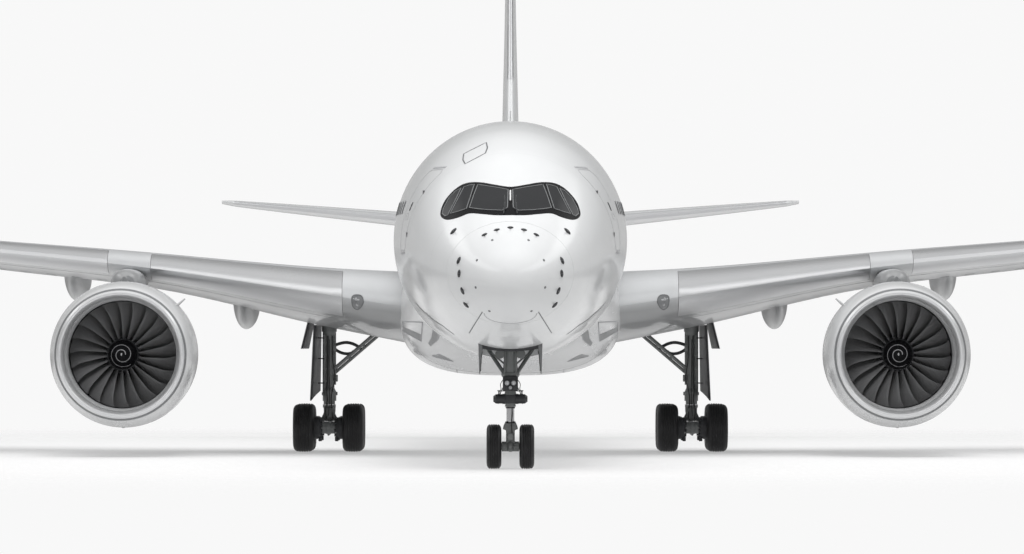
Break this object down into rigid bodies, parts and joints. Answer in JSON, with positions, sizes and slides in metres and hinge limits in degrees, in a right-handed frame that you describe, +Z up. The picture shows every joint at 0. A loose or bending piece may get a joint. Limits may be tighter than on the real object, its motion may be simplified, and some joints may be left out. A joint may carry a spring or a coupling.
{
  "type": "half-scale model of a wide-body twin-engine airliner",
  "caption": "Long-range airliner at half scale on its landing gear, with swept wings, under-wing engines and working flight controls.",
  "frame": {"origin": "on the ground, under the middle of the bounding box", "axes": "+Y runs aft from the nose to the tail, +X to the aircraft's own left wing tip, +Z up"},
  "size_m": [32.364, 33.4, 8.525],
  "materials": {
    "white_paint": "gloss",
    "grey_paint": "satin",
    "belly_paint": "satin",
    "dark_glass": "gloss",
    "bare_metal": "polished",
    "hot_metal": "satin",
    "blade_metal": "satin",
    "gear_paint": "satin",
    "rim_paint": "satin",
    "tyre_rubber": "matte"
  },
  "bodies": {
    "airframe": {"radome": "white_paint", "fuselage": "white_paint", "cockpit_windows": "dark_glass", "belly_fairing": "belly_paint", "wing_left": "grey_paint", "wing_right": "grey_paint", "droop_nose_left": "bare_metal", "droop_nose_right": "bare_metal", "slat_left": "bare_metal", "slat_right": "bare_metal", "tailplane_left": "white_paint", "tailplane_right": "white_paint", "fin": "white_paint", "inlet_lip_left": "bare_metal", "inlet_lip_right": "bare_metal", "engine_cowl_left": "grey_paint", "engine_cowl_right": "grey_paint", "engine_core_left": "hot_metal", "engine_core_right": "hot_metal", "pylon_left": "grey_paint", "pylon_right": "grey_paint", "nose_leg": "gear_paint", "nose_door_left": "belly_paint", "nose_door_right": "belly_paint", "main_leg_left": "gear_paint", "main_leg_right": "gear_paint", "main_stay_left": "gear_paint", "main_stay_right": "gear_paint", "main_leg_door_left": "grey_paint", "main_leg_door_right": "grey_paint", "bogie_beam_left": "gear_paint", "bogie_beam_right": "gear_paint"},
    "inboard_flap_left_body": {"inboard_flap_left": "grey_paint"},
    "inboard_flap_right_body": {"inboard_flap_right": "grey_paint"},
    "outboard_flap_left_body": {"outboard_flap_left": "grey_paint"},
    "outboard_flap_right_body": {"outboard_flap_right": "grey_paint"},
    "aileron_left_body": {"aileron_left": "grey_paint"},
    "aileron_right_body": {"aileron_right": "grey_paint"},
    "elevator_left_body": {"elevator_left": "white_paint"},
    "elevator_right_body": {"elevator_right": "white_paint"},
    "rudder_body": {"rudder": "white_paint"},
    "fan_left_body": {"fan_left": "blade_metal"},
    "fan_right_body": {"fan_right": "blade_metal"},
    "steered_leg": {"nose_steered_leg": "bare_metal"},
    "nose_wheel_pair": {"nose_wheels": "rim_paint", "nose_tyre_left": "tyre_rubber", "nose_tyre_right": "tyre_rubber"},
    "main_pair_front_left": {"main_wheels_front_left": "rim_paint", "main_tyre_front_inner_left": "tyre_rubber", "main_tyre_front_outer_left": "tyre_rubber"},
    "main_pair_rear_left": {"main_wheels_rear_left": "rim_paint", "main_tyre_rear_inner_left": "tyre_rubber", "main_tyre_rear_outer_left": "tyre_rubber"},
    "main_pair_front_right": {"main_wheels_front_right": "rim_paint", "main_tyre_front_inner_right": "tyre_rubber", "main_tyre_front_outer_right": "tyre_rubber"},
    "main_pair_rear_right": {"main_wheels_rear_right": "rim_paint", "main_tyre_rear_inner_right": "tyre_rubber", "main_tyre_rear_outer_right": "tyre_rubber"}
  },
  "joints": [
    {"name": "inboard_flap_left_hinge", "type": "hinge", "parent": "airframe", "child": "inboard_flap_left_body", "pos_m": [3.38316, 0.52212, 1.66406], "axis": [-0.9641, -0.17, -0.2042], "range_deg": [0, 35]},
    {"name": "inboard_flap_right_hinge", "type": "hinge", "parent": "airframe", "child": "inboard_flap_right_body", "pos_m": [-3.38316, 0.52212, 1.66406], "axis": [-0.9641, 0.17, 0.2042], "range_deg": [0, 35]},
    {"name": "outboard_flap_left_hinge", "type": "hinge", "parent": "airframe", "child": "outboard_flap_left_body", "pos_m": [7.67837, 1.79077, 2.3336], "axis": [-0.9244, -0.3626, -0.1179], "range_deg": [0, 35]},
    {"name": "outboard_flap_right_hinge", "type": "hinge", "parent": "airframe", "child": "outboard_flap_right_body", "pos_m": [-7.67837, 1.79077, 2.3336], "axis": [-0.9244, 0.3626, 0.1179], "range_deg": [0, 35]},
    {"name": "aileron_left_hinge", "type": "hinge", "parent": "airframe", "child": "aileron_left_body", "pos_m": [12.02069, 3.62175, 3.28805], "axis": [-0.9177, -0.3771, -0.1252], "range_deg": [-25, 25]},
    {"name": "aileron_right_hinge", "type": "hinge", "parent": "airframe", "child": "aileron_right_body", "pos_m": [-12.02069, 3.62175, 3.28805], "axis": [-0.9177, 0.3771, 0.1252], "range_deg": [-25, 25]},
    {"name": "elevator_left_hinge", "type": "hinge", "parent": "airframe", "child": "elevator_left_body", "pos_m": [2.72719, 14.53918, 3.61618], "axis": [-0.9427, -0.3195, -0.0957], "range_deg": [-30, 15]},
    {"name": "elevator_right_hinge", "type": "hinge", "parent": "airframe", "child": "elevator_right_body", "pos_m": [-2.72719, 14.53918, 3.61618], "axis": [-0.9427, 0.3195, 0.0957], "range_deg": [-30, 15]},
    {"name": "rudder_hinge", "type": "hinge", "parent": "airframe", "child": "rudder_body", "pos_m": [0, 14, 6.525], "axis": [0, 0.5376, 0.8432], "range_deg": [-30, 30]},
    {"name": "fan_left_spin", "type": "hinge", "parent": "airframe", "child": "fan_left_body", "pos_m": [5.285, -4.85, 1.395], "axis": [0, -1, 0], "continuous": true},
    {"name": "fan_right_spin", "type": "hinge", "parent": "airframe", "child": "fan_right_body", "pos_m": [-5.285, -4.85, 1.395], "axis": [0, -1, 0], "continuous": true},
    {"name": "nose_steering", "type": "hinge", "parent": "airframe", "child": "steered_leg", "pos_m": [0, -14.25, 0.77], "axis": [0, 0, 1], "range_deg": [-75, 75]},
    {"name": "nose_wheel_spin", "type": "hinge", "parent": "steered_leg", "child": "nose_wheel_pair", "pos_m": [0, -14.25, 0.278], "axis": [1, 0, 0], "continuous": true},
    {"name": "main_front_left_spin", "type": "hinge", "parent": "airframe", "child": "main_pair_front_left", "pos_m": [2.59, -0.46, 0.34], "axis": [1, 0, 0], "continuous": true},
    {"name": "main_rear_left_spin", "type": "hinge", "parent": "airframe", "child": "main_pair_rear_left", "pos_m": [2.59, 0.56, 0.34], "axis": [1, 0, 0], "continuous": true},
    {"name": "main_front_right_spin", "type": "hinge", "parent": "airframe", "child": "main_pair_front_right", "pos_m": [-2.59, -0.46, 0.34], "axis": [1, 0, 0], "continuous": true},
    {"name": "main_rear_right_spin", "type": "hinge", "parent": "airframe", "child": "main_pair_rear_right", "pos_m": [-2.59, 0.56, 0.34], "axis": [1, 0, 0], "continuous": true}
  ]
}
